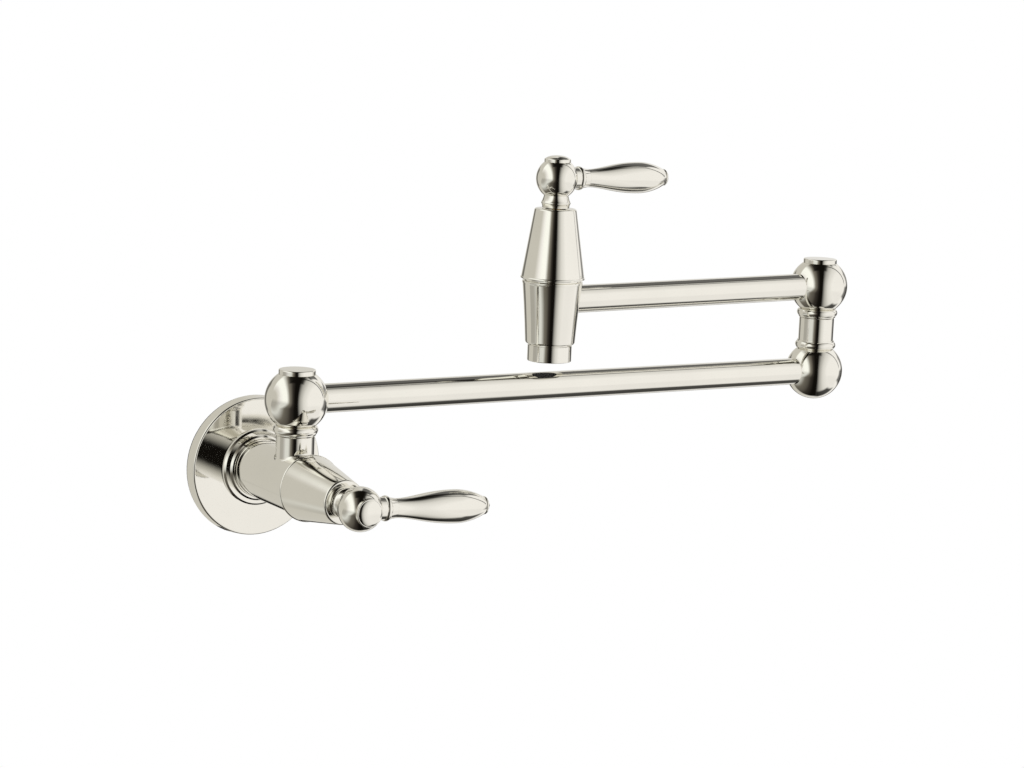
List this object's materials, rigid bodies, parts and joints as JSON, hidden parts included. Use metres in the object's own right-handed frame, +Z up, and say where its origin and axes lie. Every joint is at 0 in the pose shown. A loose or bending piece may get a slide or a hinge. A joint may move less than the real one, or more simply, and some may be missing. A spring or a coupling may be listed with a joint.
{
  "type": "wall mounted pot filler",
  "caption": "Folding two-arm wall tap with a round wall flange, ball swivels, a lever valve at the wall and a second lever valve over the spout.",
  "frame": {"origin": "on the wall plane, at the mouth of the supply inlet on the wall valve's axis", "axes": "+X along the folded arms, +Y into the wall, +Z up"},
  "size_m": [0.4115, 0.1424, 0.2166],
  "materials": {
    "polished_nickel": "mirror polished, slightly warm",
    "brass": "machined",
    "seal_rubber": "moulded matt",
    "stainless_steel": "zinc bright, fine brushed",
    "disc_ceramic": "lapped ceramic",
    "bearing_plastic": "white low-friction plastic",
    "aerator_plastic": "dark grey moulded"
  },
  "bodies": {
    "wall_unit": {"wall_gasket": "seal_rubber", "wall_bracket": "stainless_steel", "body_lock_screws": "stainless_steel", "wall_flange": "polished_nickel", "flange_o_ring": "seal_rubber", "valve_body": "polished_nickel", "wall_cartridge_body": "brass", "wall_fixed_disc": "disc_ceramic", "wall_seat_seal": "seal_rubber", "wall_cartridge_o_ring": "seal_rubber", "wall_bonnet": "polished_nickel", "shoulder_stem": "brass", "shoulder_o_rings": "seal_rubber", "shoulder_thrust_washer": "bearing_plastic", "shoulder_retaining_washer": "stainless_steel", "shoulder_nut": "stainless_steel"},
    "wall_handle": {"wall_cartridge_stem": "brass", "wall_moving_disc": "disc_ceramic", "wall_stem_o_ring": "seal_rubber", "wall_handle_hub": "polished_nickel", "wall_handle_screw": "stainless_steel", "wall_handle_cap": "polished_nickel", "wall_lever_ferrule": "polished_nickel", "wall_lever": "polished_nickel", "wall_lever_tip": "polished_nickel"},
    "lower_arm": {"shoulder_ball": "polished_nickel", "shoulder_cap": "polished_nickel", "lower_tube": "polished_nickel", "elbow_lower_ball": "polished_nickel", "elbow_stem": "brass", "elbow_o_rings": "seal_rubber", "elbow_thrust_washer": "bearing_plastic", "elbow_retaining_washer": "stainless_steel", "elbow_nut": "stainless_steel"},
    "upper_arm": {"elbow_upper_ball": "polished_nickel", "elbow_cap": "polished_nickel", "upper_tube": "polished_nickel", "spout_body": "polished_nickel", "nozzle_ring": "polished_nickel", "aerator_insert": "aerator_plastic", "aerator_washer": "seal_rubber", "spout_cartridge_body": "brass", "spout_fixed_disc": "disc_ceramic", "spout_seat_seal": "seal_rubber", "spout_cartridge_o_ring": "seal_rubber", "spout_bonnet": "polished_nickel"},
    "spout_handle": {"spout_cartridge_stem": "brass", "spout_moving_disc": "disc_ceramic", "spout_stem_o_ring": "seal_rubber", "spout_handle_hub": "polished_nickel", "spout_handle_screw": "stainless_steel", "spout_handle_cap": "polished_nickel", "spout_lever_ferrule": "polished_nickel", "spout_lever": "polished_nickel", "spout_lever_tip": "polished_nickel"}
  },
  "joints": [
    {"name": "wall_lever_turn", "type": "hinge", "parent": "wall_unit", "child": "wall_handle", "pos_m": [0, -0.1293, 0], "axis": [0, 1, 0], "range_deg": [0, 90]},
    {"name": "shoulder_swing", "type": "hinge", "parent": "wall_unit", "child": "lower_arm", "pos_m": [0, -0.0539, 0.0452], "axis": [0, 0, 1], "range_deg": [-180, 0]},
    {"name": "elbow_swing", "type": "hinge", "parent": "lower_arm", "child": "upper_arm", "pos_m": [0.3545, -0.0539, 0.0972], "axis": [0, 0, 1], "continuous": true},
    {"name": "spout_lever_turn", "type": "hinge", "parent": "upper_arm", "child": "spout_handle", "pos_m": [0.1611, -0.0539, 0.1639], "axis": [0, 0, 1], "range_deg": [-90, 0]}
  ]
}
